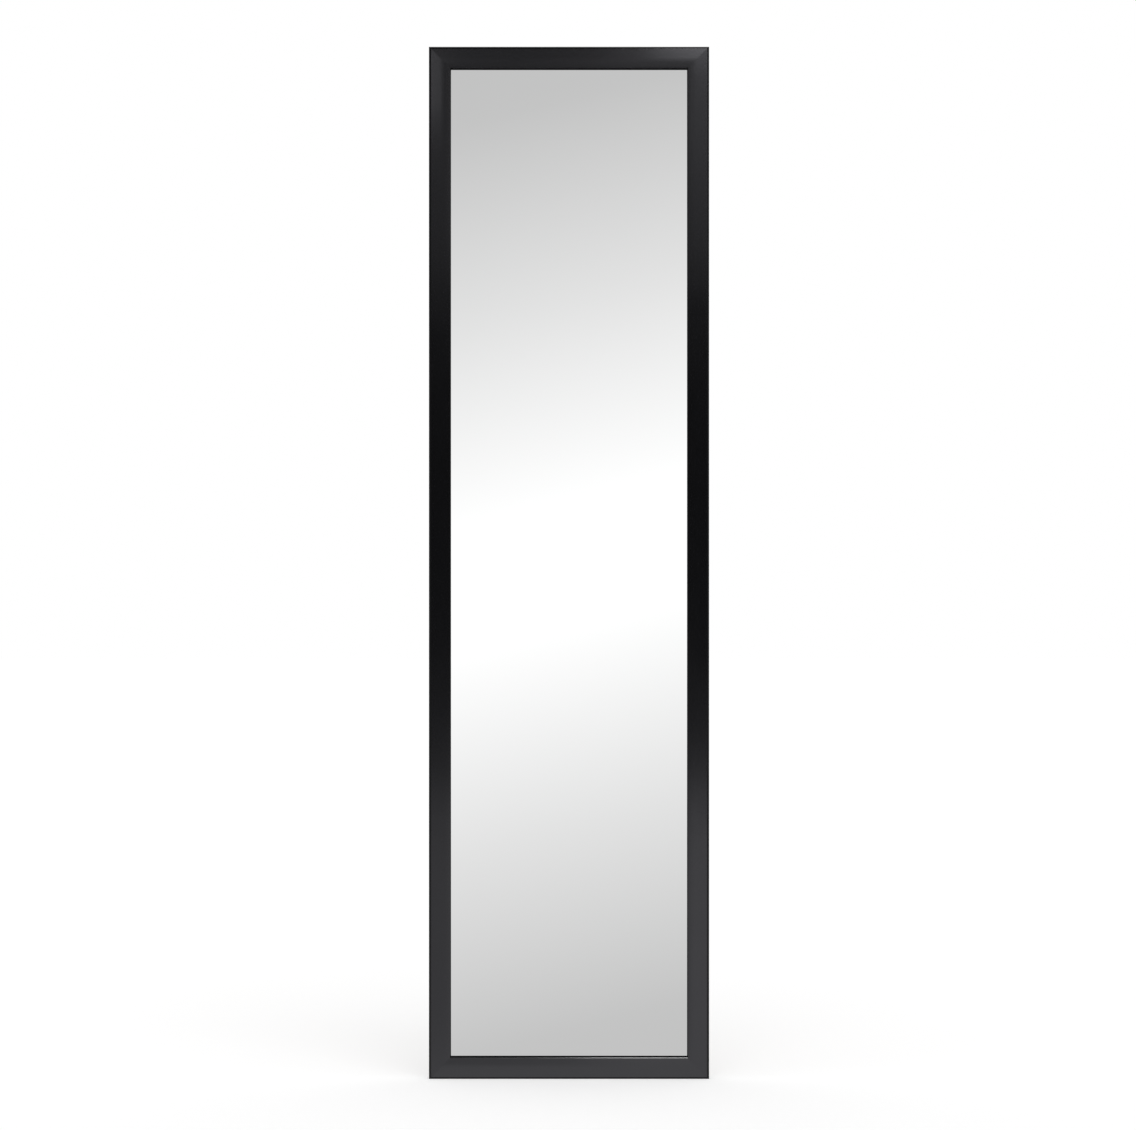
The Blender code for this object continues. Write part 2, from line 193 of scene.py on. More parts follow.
class HardwareSettings(PropertyGroup):
    """Wedges, turn buttons, screws, hooks and pads"""

    wedge_wing: size("Wedge Wing", "Length of each wing of a corner wedge", 0.0045)
    wedge_thickness: size("Wedge Thickness", "Sheet that the wedges are made of", 0.0005)
    wedge_proud: size("Wedge Proud", "How far a wedge stands out of the back", 0.0001)
    button_edge: size("Button Edge", "Rolled edge of a turn button", 0.0003)
    screw_hole: size("Screw Hole", "Radius of the hole for a screw", 0.00205)
    screw_shank: size("Screw Shank", "Radius of a screw's shank", 0.00175)
    screw_tip: size("Screw Tip", "Length of a screw's point", 0.0025)
    head_radius: size("Head Radius", "Radius of a screw's pan head", 0.0036)
    head_height: size("Head Height", "Height of a screw's pan head", 0.002)
    head_rim: size("Head Rim", "Straight rim below the round of the head", 0.0006)
    recess_length: size("Recess Length", "Length of the cross recess", 0.0038)
    recess_width: size("Recess Width", "Width of the cross recess", 0.0009)
    recess_depth: size("Recess Depth", "Depth of the cross recess", 0.0011)
    hook_thickness: size("Hook Thickness", "Steel strip that the hooks are bent from", 0.0015)
    hook_bend: size("Hook Bend", "Inside radius of a hook's bends", 0.002)
    hook_corner: size("Hook Corner", "Round corners at the ends of a hook", 0.004)
    hook_edge: size("Hook Edge", "Rounded edge of the coated strip", 0.0003)
    slot_end: size("Slot End", "End of a hook to the end of its slot", 0.008)
    slot_length: size("Slot Length", "Length of a hook's slot", 0.1241)
    pad_corner: size("Pad Corner", "Round corners of a foam pad", 0.0015)
    pad_edge: size("Pad Edge", "Soft edge of a foam pad", 0.0004)
    pad_crown: size("Pad Crown", "How much a foam pad swells in the middle", 0.00015)
    zinc: tint("Zinc", "Bright zinc plate", "#C6C9CB")
    coat: tint("Powder Coat", "Coat on the hooks", "#161618")
    foam: tint("Foam", "Colour of the pads", "#333336")


class StageSettings(PropertyGroup):
    """Floor, light and camera"""

    camera_distance: size("Camera Distance", "Front of the frame to the camera", 4.5)
    picture_width: size("Picture Width", "Width of the picture at the front of the frame", 1.3858)
    floor_size: size("Floor Size", "Side of the floor", 40.0)
    floor: tint("Floor", "Pale floor", "#D2D2D2")
    floor_lift: share("Floor Lift", "Light that makes the floor white in the camera's view", 0.40)
    ambient: share("Ambient", "Even light from all round", 0.78)
    key: share("Key Light", "Strength of the soft light from the front", 0.7)


class DoorMirrorSettings(PropertyGroup):
    """All that a user would change on the door mirror"""

    moulding: PointerProperty(type=MouldingSettings)
    glass: PointerProperty(type=GlassSettings)
    back: PointerProperty(type=BackSettings)
    hardware: PointerProperty(type=HardwareSettings)
    stage: PointerProperty(type=StageSettings)


# Modelling


def near(a, b):
    return abs(a - b) < TOUCH


def centre_of(name):
    """Middle of the box of a CAD node."""
    low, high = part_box(name)
    return (low + high) / 2


def open_piece(name):
    """Names the primitive just added, fixes its size and place in its mesh and opens it for editing."""
    piece = bpy.context.object
    piece.name = name
    piece.data.name = name
    bpy.ops.object.transform_apply(location=True, rotation=True, scale=True)
    bpy.ops.object.mode_set(mode="EDIT")
    return piece


def add_block(name, low, high):
    """Starts a piece as a box between two corners."""
    low, high = Vector(low), Vector(high)
    bpy.ops.mesh.primitive_cube_add(size=1, location=(low + high) / 2, scale=high - low)
    return open_piece(name)


def add_disc(name, centre, radius, low, high):
    """Starts a piece as a disc about Y, from low to high, with no corner level with its centre."""
    bpy.ops.mesh.primitive_cylinder_add(
        vertices=DISC_SIDES,
        radius=radius,
        depth=high - low,
        location=(centre[0], (low + high) / 2, centre[1]),
        rotation=(math.pi / 2, math.pi / DISC_SIDES, 0),
    )
    return open_piece(name)


def pick(kind, test):
    """Selects the vertices, edges or faces of the open piece that pass a test, and nothing else."""
    mesh = bpy.context.object.data
    bpy.ops.mesh.select_mode(type=kind)
    bpy.ops.mesh.select_all(action="DESELECT")
    shape = bmesh.from_edit_mesh(mesh)
    groups = {"VERT": shape.verts, "EDGE": shape.edges, "FACE": shape.faces}
    found = [element for element in groups[kind] if test(element)]
    if not found:
        raise RuntimeError(f"{mesh.name}: nothing passes the test for this cut")
    for element in found:
        element.select_set(True)
    shape.select_flush_mode()
    bmesh.update_edit_mesh(mesh)


def pick_edges(test):
    """Selects the edges whose two ends both pass a test."""
    pick("EDGE", lambda edge: all(test(v.co) for v in edge.verts))


def cut(co, normal):
    """Cuts the selected faces along a plane."""
    bpy.ops.mesh.bisect(plane_co=co, plane_no=normal)


def saw(co, normal):
    """Saws off what lies beyond a plane and closes the cut."""
    bpy.ops.mesh.select_all(action="SELECT")
    bpy.ops.mesh.bisect(plane_co=co, plane_no=normal, use_fill=True, clear_outer=True)


def move(x=0.0, y=0.0, z=0.0):
    bpy.ops.transform.translate(value=(x, y, z))


def extrude(x=0.0, y=0.0, z=0.0):
    bpy.ops.mesh.extrude_region_move(TRANSFORM_OT_translate={"value": (x, y, z)})


def round_off(radius, segments=EDGE_SEGMENTS):
    """Rounds the selected edges."""
    bpy.ops.mesh.bevel(offset=radius, segments=segments, affect="EDGES", clamp_overlap=False)


def close_piece():
    """Merges doubles, points the faces outwards and leaves editing, with the rounds shaded smooth."""
    piece = bpy.context.object
    bpy.ops.mesh.select_mode(type="VERT")
    bpy.ops.mesh.select_all(action="SELECT")
    bpy.ops.mesh.remove_doubles(threshold=MERGE)
    bpy.ops.mesh.normals_make_consistent(inside=False)
    bpy.ops.object.mode_set(mode="OBJECT")
    bpy.ops.object.shade_smooth_by_angle(angle=SMOOTH_ANGLE)
    return piece


def apply_modifier(piece, kind, **settings):
    """Adds a modifier to a piece and applies it."""
    bpy.ops.object.select_all(action="DESELECT")
    bpy.context.view_layer.objects.active = piece
    piece.select_set(True)
    modifier = piece.modifiers.new(kind.title(), kind)
    for name, value in settings.items():
        setattr(modifier, name, value)
    bpy.ops.object.modifier_apply(modifier=modifier.name)


def drill(piece, cutter):
    """Cuts a closed shape out of a piece and throws the cutter away."""
    apply_modifier(piece, "BOOLEAN", operation="DIFFERENCE", solver="EXACT", object=cutter)
    discard(cutter)


def flatten_shading(piece):
    """Lets the broad faces set the shading, so that they stay flat between their rounded edges."""
    apply_modifier(piece, "WEIGHTED_NORMAL", keep_sharp=True)


def discard(piece):
    mesh = piece.data
    bpy.data.objects.remove(piece)
    bpy.data.meshes.remove(mesh)


def copy_piece(piece, name, place):
    """A copy of a piece with its own mesh, moved by a matrix."""
    mesh = piece.data.copy()
    mesh.name = name
    mesh.transform(place)
    made = bpy.data.objects.new(name, mesh)
    bpy.context.scene.collection.objects.link(made)
    return made


def mesh_box(piece):
    """Lowest and highest corner of a piece."""
    corners = [Vector(corner) for corner in piece.bound_box]
    low = Vector([min(c[axis] for c in corners) for axis in range(3)])
    high = Vector([max(c[axis] for c in corners) for axis in range(3)])
    return low, high


def hand_over(piece, cad_name, finish):
    """Gives a piece its finish and puts it in the place of its CAD node, on the same body."""
    for had, should in zip(mesh_box(piece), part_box(cad_name)):
        if (had - should).length > STRAY:
            raise RuntimeError(f"{piece.name} is not where {cad_name} is: {had} and {should}")
    piece.data.materials.append(finish)
    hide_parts(cad_name)
    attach(piece, frame["nodes"][cad_name]["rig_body"])
    return piece


# Finishes


def node(tree, kind, inputs=None, **settings):
    """Adds a node of a kind, written without the leading ShaderNode, with its settings and links.

    An input goes by its name, or by its number among those that the settings leave in use. It takes a
    value, the output of another node, or another node, which stands for its first output in use.
    """
    made = tree.nodes.new(f"ShaderNode{kind}")
    for name, value in settings.items():
        setattr(made, name, value)
    in_use = [socket for socket in made.inputs if socket.enabled]
    for key, value in (inputs or {}).items():
        socket = in_use[key] if isinstance(key, int) else made.inputs[key]
        if isinstance(value, bpy.types.Node):
            value = next(output for output in value.outputs if output.enabled)
        if isinstance(value, bpy.types.NodeSocket):
            tree.links.new(value, socket)
        else:
            socket.default_value = value
    return made


def start_material(name):
    made = bpy.data.materials.new(name)
    made.use_nodes = True
    made.node_tree.nodes.clear()
    return made, made.node_tree


def start_finish(name):
    """Starts the finish of a piece, whose own coordinates place the patterns."""
    made, tree = start_material(name)
    return made, tree, node(tree, "TexCoord").outputs["Object"]


def finish_material(made, kind, inputs):
    """Gives a material its last shader, of a kind, and its output."""
    shader = node(made.node_tree, kind, inputs)
    node(made.node_tree, "OutputMaterial", {"Surface": shader})
    return made


def per_metre(millimetres):
    """Scale of a pattern whose marks are this far apart."""
    return 1000.0 / millimetres


def toned(colour, factor=1.0):
    """A colour made darker or lighter, ready for a socket."""
    return (*(c * factor for c in colour), 1)


def satin_polystyrene(name, colour, stretch):
    """Extruded polystyrene moulding with a satin black skin.

    It is nearly black and shows mostly as a soft sheen of the studio. The die leaves faint lines along
    its length, drawn coarser than real ones so that they show close up, and the skin has a slow ripple.
    stretch shrinks the coordinate that runs along the length.
    """
    made, tree, place = start_finish(name)
    along = node(tree, "Mapping", {"Vector": place, "Scale": stretch})
    die = node(tree, "TexNoise", {"Vector": along, "Scale": per_metre(0.8), "Detail": 3.0})
    ripple = node(tree, "TexNoise", {"Vector": place, "Scale": per_metre(3.0), "Detail": 1.0})
    cloud = node(tree, "TexNoise", {"Vector": place, "Scale": per_metre(45.0), "Detail": 4.0})
    lines = node(tree, "Bump", {"Strength": 0.12, "Distance": 0.00002, "Height": die})
    skin = node(tree, "Bump", {"Strength": 0.03, "Distance": 0.00004, "Height": ripple, "Normal": lines})
    gloss = node(
        tree,
        "MapRange",
        {"Value": cloud, "From Min": 0.3, "From Max": 0.7, "To Min": 0.19, "To Max": 0.23},
    )
    shade = node(tree, "Mix", {0: die, 1: toned(colour), 2: toned(colour, 1.25)}, data_type="RGBA")
    return finish_material(
        made, "BsdfPrincipled", {"Base Color": shade, "Roughness": gloss, "IOR": 1.59, "Normal": skin}
    )


def lip_shade_finish(colour):
    """Dull finish of the lip over the glass, without the skin's sheen, so that the lip stays dark: painted
    shade. It is slightly grainy.
    """
    made, tree, place = start_finish("foamed polystyrene core")
    grain = node(tree, "TexNoise", {"Vector": place, "Scale": per_metre(0.6), "Detail": 2.0})
    shade = node(tree, "Mix", {0: grain, 1: toned(colour, 0.8), 2: toned(colour)}, data_type="RGBA")
    return finish_material(
        made,
        "BsdfPrincipled",
        {"Base Color": shade, "Roughness": 1.0, "IOR": 1.59, "Specular IOR Level": 0.0},
    )


def silvered_glass(colour):
    """Float glass with a silvered back: a sharp mirror with the slow waves that float glass has."""
    made, tree, place = start_finish("silvered float glass")
    red, green, blue = colour
    waves = node(tree, "TexNoise", {"Vector": place, "Scale": per_metre(160.0), "Detail": 1.0})
    ripple = node(tree, "Bump", {"Strength": 0.2, "Distance": 0.00001, "Height": waves})
    greener = (red * 0.995, green, blue * 0.998, 1)
    shade = node(tree, "Mix", {0: waves, 1: toned(colour), 2: greener}, data_type="RGBA")
    return finish_material(
        made, "BsdfPrincipled", {"Base Color": shade, "Metallic": 1.0, "Roughness": 0.0, "Normal": ripple}
    )


def mirror_paint(colour):
    """Curtain-coated backing paint on the silvering: flat grey with slow waves from the coater."""
    made, tree, place = start_finish("mirror backing paint")
    flow = node(tree, "TexNoise", {"Vector": place, "Scale": per_metre(12.0), "Detail": 3.0})
    gloss = node(tree, "MapRange", {"Value": flow, "To Min": 0.5, "To Max": 0.65})
    shade = node(tree, "Mix", {0: flow, 1: toned(colour), 2: toned(colour, 0.9)}, data_type="RGBA")
    return finish_material(made, "BsdfPrincipled", {"Base Color": shade, "Roughness": gloss})


def hardboard(colour, fibre):
    """Hot-pressed hardboard: matt brown, mottled, with short dark fibres pressed into its face."""
    made, tree, place = start_finish("hardboard")
    mottle = node(tree, "TexNoise", {"Vector": place, "Scale": per_metre(28.0), "Detail": 6.0})
    drift = node(
        tree, "TexNoise", {"Vector": place, "Scale": per_metre(9.0), "Detail": 2.0, "Distortion": 2.5}
    )
    strands = node(
        tree,
        "TexNoise",
        {"Vector": place, "Scale": per_metre(2.2), "Detail": 5.0, "Roughness": 0.7, "Distortion": 3.0},
    )
    flecks = node(
        tree,
        "MapRange",
        {"Value": strands, "From Min": 0.56, "From Max": 0.70, "To Min": 0.0, "To Max": 0.75},
    )
    ground = node(
        tree, "Mix", {0: mottle, 1: toned(colour, 0.82), 2: toned(colour, 1.22)}, data_type="RGBA"
    )
    shade = node(tree, "Mix", {0: flecks, 1: ground, 2: toned(fibre)}, data_type="RGBA")
    felt = node(tree, "Bump", {"Strength": 0.35, "Distance": 0.00015, "Height": strands})
    gloss = node(tree, "MapRange", {"Value": drift, "To Min": 0.62, "To Max": 0.82})
    return finish_material(
        made, "BsdfPrincipled", {"Base Color": shade, "Roughness": gloss, "IOR": 1.5, "Normal": felt}
    )


def zinc_plate(colour):
    """Bright zinc plate on stamped steel: a blue-white metal, clouded, with fine barrel scratches."""
    made, tree, place = start_finish("bright zinc plate")
    red, green, blue = colour
    cloud = node(tree, "TexNoise", {"Vector": place, "Scale": per_metre(4.0), "Detail": 4.0})
    turned = node(tree, "Mapping", {"Vector": place, "Rotation": (0, 0.6, 0), "Scale": (1, 1, 0.08)})
    scratch = node(tree, "TexNoise", {"Vector": turned, "Scale": per_metre(0.4), "Detail": 2.0})
    bluer = (red * 0.86, green * 0.88, blue * 0.92, 1)
    shade = node(tree, "Mix", {0: cloud, 1: bluer, 2: toned(colour)}, data_type="RGBA")
    gloss = node(
        tree,
        "MapRange",
        {"Value": scratch, "From Min": 0.3, "From Max": 0.7, "To Min": 0.26, "To Max": 0.42},
    )
    marks = node(tree, "Bump", {"Strength": 0.15, "Distance": 0.00002, "Height": scratch})
    return finish_material(
        made, "BsdfPrincipled", {"Base Color": shade, "Metallic": 1.0, "Roughness": gloss, "Normal": marks}
    )


def powder_coat(colour):
    """Fine-textured black powder coat: a dull sheen broken up by the pebbled skin of the melted powder."""
    made, tree, place = start_finish("black powder coat")
    pebble = node(tree, "TexNoise", {"Vector": place, "Scale": per_metre(0.7), "Detail": 2.0})
    cloud = node(tree, "TexNoise", {"Vector": place, "Scale": per_metre(10.0), "Detail": 3.0})
    skin = node(tree, "Bump", {"Strength": 0.4, "Distance": 0.00006, "Height": pebble})
    gloss = node(tree, "MapRange", {"Value": cloud, "To Min": 0.42, "To Max": 0.56})
    shade = node(tree, "Mix", {0: pebble, 1: toned(colour, 0.8), 2: toned(colour)}, data_type="RGBA")
    return finish_material(
        made, "BsdfPrincipled", {"Base Color": shade, "Roughness": gloss, "Normal": skin}
    )


def closed_cell_foam(colour):
    """Die-cut closed-cell foam: matt dark grey, with small cells showing as pits."""
    made, tree, place = start_finish("closed-cell foam")
    cells = node(tree, "TexVoronoi", {"Vector": place, "Scale": per_metre(0.6)})
    pits = node(tree, "Bump", {"Strength": 0.5, "Distance": 0.00015, "Height": cells}, invert=True)
    shade = node(tree, "Mix", {0: cells, 1: toned(colour, 0.7), 2: toned(colour, 1.2)}, data_type="RGBA")
    return finish_material(
        made, "BsdfPrincipled", {"Base Color": shade, "Roughness": 0.92, "Normal": pits}
    )


def moulded_rubber(colour):
    """Compression-moulded rubber: dark grey and dull, with a bloom that clouds it."""
    made, tree, place = start_finish("moulded rubber")
    bloom = node(tree, "TexNoise", {"Vector": place, "Scale": per_metre(5.0), "Detail": 5.0})
    grit = node(tree, "TexNoise", {"Vector": place, "Scale": per_metre(0.5), "Detail": 1.0})
    skin = node(tree, "Bump", {"Strength": 0.3, "Distance": 0.00005, "Height": grit})
    shade = node(tree, "Mix", {0: bloom, 1: toned(colour), 2: toned(colour, 1.6)}, data_type="RGBA")
    gloss = node(tree, "MapRange", {"Value": bloom, "To Min": 0.55, "To Max": 0.8})
    return finish_material(
        made, "BsdfPrincipled", {"Base Color": shade, "Roughness": gloss, "IOR": 1.52, "Normal": skin}
    )


# Frame

# Finishes of the moulding, in the order of its material slots: the satin skin, then the lip's painted
# shade
SKIN, PAINTED_SHADE_SLOT = 0, 1

# How squarely a face looks to the inside of the frame to get the dull lip finish of painted shade
PAINTED_SHADE_FACING = 0.95

# The die lines' coordinate is shrunk to this share along the moulding, which draws the lines out
DIE_STRETCH = 0.002


def model_moulding(name, length, section):
    """A length of moulding along the top of the frame, mitred at both ends."""
    half = length / 2
    seat = PANE_LOW.y - PANE_GAP
    back_width = HALF_WIDTH - PANE_HIGH.x - PANE_PLAY
    shoulder = FRAME_FRONT + section.face_lean
    lip = FRAME_FRONT + section.sight_drop
    sight = FRAME_TOP - FACE_WIDTH
    step = FRAME_TOP - back_width
    crease = FRAME_TOP - section.crease_inset
    add_block(name, (-half, shoulder, sight), (half, seat, FRAME_TOP))

    # The rabbet: the outer part goes on to the back
    pick("FACE", lambda face: face.normal.y > FACING)
    cut((0, seat, step), (0, 0, 1))
    pick("FACE", lambda face: face.normal.y > FACING and face.calc_center_median().z > step)
    extrude(y=FRAME_BACK - seat)

    # The outer face leans back a little to the shoulder, and the inner face curves back to the sight edge
    inner_width = FACE_WIDTH - section.crease_inset
    parts = [number / INNER_CUTS for number in range(INNER_CUTS)]
    lines = {crease - inner_width * part: section.sight_drop * part**2 for part in parts}
    for line in lines:
        pick("FACE", lambda face: face.normal.y < -FACING)
        cut((0, shoulder, line), (0, 0, 1))
    for line, fall in lines.items():
        pick("VERT", lambda v: near(v.co.z, line) and near(v.co.y, shoulder))
        move(y=fall - section.face_lean)
    pick("VERT", lambda v: near(v.co.z, sight) and near(v.co.y, shoulder))
    move(y=section.sight_drop - section.face_lean)

    # Rounds along the length
    pick_edges(lambda co: near(co.z, FRAME_TOP) and near(co.y, shoulder))
    round_off(section.shoulder_radius, SHOULDER_SEGMENTS)
    pick_edges(lambda co: near(co.z, crease) and near(co.y, FRAME_FRONT))
    round_off(section.crease_round, CREASE_SEGMENTS)
    pick_edges(lambda co: near(co.z, sight) and near(co.y, lip))
    round_off(section.sight_radius, SHOULDER_SEGMENTS)
    pick_edges(lambda co: near(co.y, FRAME_BACK) and (near(co.z, FRAME_TOP) or near(co.z, step)))
    round_off(section.back_round)

    # The mitres
    shift = section.mitre_gap / 2 * math.sqrt(2)
    for end in (-1, 1):
        saw((end * (half - shift), FRAME_BACK, FRAME_TOP), (end, 0, -1))
    piece = close_piece()
    flatten_shading(piece)

    # The skin ends at the sight edge, and the lip gets a dull finish without sheen, as painted shade
    for face in piece.data.polygons:
        face.material_index = PAINTED_SHADE_SLOT if face.normal.z < -PAINTED_SHADE_FACING else SKIN
    return piece


def frame_place(across, up, turn):
    """Moves a length of moulding from the top of the frame to another side of it."""
    target = Matrix.Translation((across, 0, up))
    return target @ Matrix.Rotation(turn, 4, "Y") @ Matrix.Translation((0, 0, -FRAME_TOP))


class DOORMIRROR_OT_moulding(Operator):
    """Models the four mitred lengths of moulding"""

    bl_idname = "door_mirror.add_moulding"
    bl_label = "Frame Moulding"

    def execute(self, context):
        section = context.scene.door_mirror.moulding
        quarter = math.pi / 2
        crosswise = satin_polystyrene("satin polystyrene, crosswise", section.colour, (DIE_STRETCH, 1, 1))
        upright = satin_polystyrene("satin polystyrene, upright", section.colour, (1, 1, DIE_STRETCH))
        # The lip's finish is painted shade: dull and without sheen, so that the band at the glass stays
        # dark
        core = lip_shade_finish(section.core)
        rail = model_moulding("rail_stock", 2 * HALF_WIDTH, section)
        stile = model_moulding("stile_stock", FRAME_HEIGHT, section)
        places = {
            "top_rail": (rail, crosswise, frame_place(0, FRAME_TOP, 0)),
            "bottom_rail": (rail, crosswise, frame_place(0, FRAME_BOTTOM, math.pi)),
            "left_stile": (stile, upright, frame_place(-HALF_WIDTH, FRAME_MIDDLE, -quarter)),
            "right_stile": (stile, upright, frame_place(HALF_WIDTH, FRAME_MIDDLE, quarter)),
        }
        for name, (stock, finish, place) in places.items():
            piece = hand_over(copy_piece(stock, f"black_{name}", place), name, finish)
            piece.data.materials.append(core)
        discard(rail)
        discard(stile)
        return {"FINISHED"}


# Glass and backing

# Finishes of the pane, in the order of its material slots
SILVER, PAINT = 0, 1


class DOORMIRROR_OT_pane(Operator):
    """Models the silvered pane, with its edges ground back"""

    bl_idname = "door_mirror.add_pane"
    bl_label = "Mirror Pane"

    def execute(self, context):
        glass = context.scene.door_mirror.glass
        piece = add_block("silvered_pane", PANE_LOW, PANE_HIGH)
        bpy.ops.mesh.select_all(action="SELECT")
        round_off(glass.seam, segments=1)
        close_piece()
        hand_over(piece, "mirror_pane", silvered_glass(glass.silver))
        piece.data.materials.append(mirror_paint(glass.paint))
        for face in piece.data.polygons:
            face.material_index = PAINT if face.normal.y > FACING else SILVER
        return {"FINISHED"}


class DOORMIRROR_OT_board(Operator):
    """Models the hardboard that closes the back"""

    bl_idname = "door_mirror.add_board"
    bl_label = "Backing Board"

    def execute(self, context):
        back = context.scene.door_mirror.back
        low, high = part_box("backing_board")
        piece = add_block("hardboard_back", low, high)
        pick("EDGE", lambda edge: not near(edge.verts[0].co.y, edge.verts[1].co.y))
        round_off(back.corner_radius, SHOULDER_SEGMENTS)
        pick_edges(lambda co: near(co.y, high.y))
        round_off(back.board_edge, SMALL_EDGE_SEGMENTS)
        close_piece()
        flatten_shading(piece)
        hand_over(piece, "backing_board", hardboard(back.board, back.fibre))
        return {"FINISHED"}


# Shares of a bumper's radius: how far its face reaches, and how wide the rim round the hollow is
BUMPER_FACE = 0.9
BUMPER_RIM = 0.4


class DOORMIRROR_OT_bumpers(Operator):
    """Models the rubber bumpers on the back of the bottom rail"""

    bl_idname = "door_mirror.add_bumpers"
    bl_label = "Bumpers"

    def execute(self, context):
        back = context.scene.door_mirror.back
        finish = moulded_rubber(back.rubber)
        low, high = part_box("left_bumper")
        radius = (high.x - low.x) / 2
        stock = add_disc("bumper_stock", (0, 0), radius, low.y, high.y)
        pick("FACE", lambda face: face.normal.y > FACING)
        bpy.ops.transform.resize(value=(BUMPER_FACE, 1, BUMPER_FACE))
        bpy.ops.mesh.inset(thickness=radius * BUMPER_RIM)
        move(y=-back.bumper_dish)
        edge = radius * BUMPER_FACE
        pick_edges(lambda co: near(co.y, high.y) and math.hypot(co.x, co.z) > edge - TOUCH)
        round_off(back.bumper_edge, EDGE_SEGMENTS + 1)
        close_piece()
        for name in ("left_bumper", "right_bumper"):
            centre = centre_of(name)
            place = Matrix.Translation((centre.x, 0, centre.z))
            hand_over(copy_piece(stock, f"rubber_{name}", place), name, finish)
        discard(stock)
        return {"FINISHED"}


# Hardware

# Angle between the two wings of a corner wedge
WEDGE_ANGLE = math.radians(105)


class DOORMIRROR_OT_wedges(Operator):
    """Models the steel wedges pressed into the backs of the mitres"""

    bl_idname = "door_mirror.add_wedges"
    bl_label = "Corner Wedges"

    def execute(self, context):
        steel = context.scene.door_mirror.hardware
        finish = zinc_plate(steel.zinc)
        low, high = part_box("top_left_corner_wedge_1")
        half_angle = WEDGE_ANGLE / 2
        span = 2 * steel.wedge_wing * math.sin(half_angle)
        bpy.ops.mesh.primitive_plane_add(size=1)
        bpy.context.object.scale = (span, high.y - low.y, 1)
        stock = open_piece("wedge_stock")
        bpy.ops.mesh.subdivide(number_cuts=1)
        pick("VERT", lambda v: near(v.co.x, 0))
        move(z=steel.wedge_wing * math.cos(half_angle))
        close_piece()
        apply_modifier(stock, "SOLIDIFY", thickness=steel.wedge_thickness, offset=0, use_even_offset=True)
        for name in sorted(frame["nodes"]):
            if "corner_wedge" not in name:
                continue
            centre = centre_of(name)

            # The point of the wedge looks to the corner of the frame
            turn = math.copysign(math.pi / 4, centre.x)
            if centre.z < FRAME_MIDDLE:
                turn *= 3
            turned = copy_piece(stock, f"steel_{name}", Matrix.Rotation(turn, 4, "Y"))
            had_low, had_high = mesh_box(turned)
            shift = centre - (had_low + had_high) / 2
            shift.y = FRAME_BACK + steel.wedge_proud - had_high.y
            turned.data.transform(Matrix.Translation(shift))
            hand_over(turned, name, finish)
        discard(stock)
        return {"FINISHED"}


class DOORMIRROR_OT_buttons(Operator):
    """Models the turn buttons that hold the board in"""

    bl_idname = "door_mirror.add_buttons"
    bl_label = "Turn Buttons"

    def execute(self, context):
        steel = context.scene.door_mirror.hardware
        finish = zinc_plate(steel.zinc)
        low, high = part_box("turn_button_top")
        radius = (high.x - low.x) / 2
        length = high.z - low.z
        stock = add_disc("button_stock", (0, 0), radius, low.y, high.y)
        pick("VERT", lambda v: v.co.z < 0)
        move(z=2 * radius - length)

        # The edge towards the board is rolled half as far as the outer one
        pick_edges(lambda co: near(co.y, low.y))
        round_off(steel.button_edge / 2, SMALL_EDGE_SEGMENTS)
        pick_edges(lambda co: near(co.y, high.y))
        round_off(steel.button_edge)
        close_piece()
        bore = add_disc("button_bore", (0, 0), steel.screw_hole, low.y * CUTTER_REACH, DOOR_FACE)
        close_piece()
        drill(stock, bore)
        bpy.ops.object.shade_smooth_by_angle(angle=SMOOTH_ANGLE)
        flatten_shading(stock)
        for joint in frame["joints"]:
            if joint["type"] != "hinge":
                continue
            name = f"turn_{joint['child']}"
            pivot = Vector(joint["pos_m"])
            tip = centre_of(name) - pivot
            turn = Matrix.Rotation(math.atan2(-tip.x, -tip.z), 4, "Y")
            place = Matrix.Translation((pivot.x, 0, pivot.z)) @ turn
            hand_over(copy_piece(stock, f"zinc_{name}", place), name, finish)
        discard(stock)
        return {"FINISHED"}


# The driver that fits the cross recess: how high it stands, as a share of the height of the screw's head,
# and what share of its width is left at its end
DRIVER_HEIGHT = 1.2
DRIVER_TAPER = 0.7

# Each screw stops at its own angle when it is driven home
DRIVEN_TURN = math.radians(37)


def model_recess(steel):
    """The shape of the driver that fits the cross recess, narrower towards its end."""
    half = steel.recess_width / 2
    reach = (steel.recess_length - steel.recess_width) / 2
    bottom = steel.head_height - steel.recess_depth
    top = steel.head_height * DRIVER_HEIGHT
    add_block("screw_recess", (-half, bottom, -half), (half, top, half))
    for x, z in ((1, 0), (-1, 0), (0, 1), (0, -1)):
        side = Vector((x * half, 0, z * half))
        pick("FACE", lambda face: (face.calc_center_median() - side).xz.length < TOUCH)
        extrude(x=x * reach, z=z * reach)
    pick("VERT", lambda v: near(v.co.y, bottom))
    bpy.ops.transform.resize(value=(DRIVER_TAPER, 1, DRIVER_TAPER), center_override=(0, bottom, 0))
    return close_piece()


def model_screw(steel, length):
    """A pan-head screw with its seat at the origin and its head towards +Y."""
    top = steel.head_height
    stock = add_disc("screw_stock", (0, 0), steel.head_radius, 0, top)
    pick_edges(lambda co: near(co.y, top))
    round_off(top - steel.head_rim, SHOULDER_SEGMENTS)
    pick("FACE", lambda face: face.normal.y < -FACING)
    bpy.ops.mesh.inset(thickness=steel.head_radius - steel.screw_shank)
    extrude(y=steel.screw_tip - length)
    extrude(y=-steel.screw_tip)
    bpy.ops.mesh.merge(type="CENTER")
    close_piece()
    drill(stock, model_recess(steel))
    bpy.ops.object.shade_smooth_by_angle(angle=SMOOTH_ANGLE)
    return stock


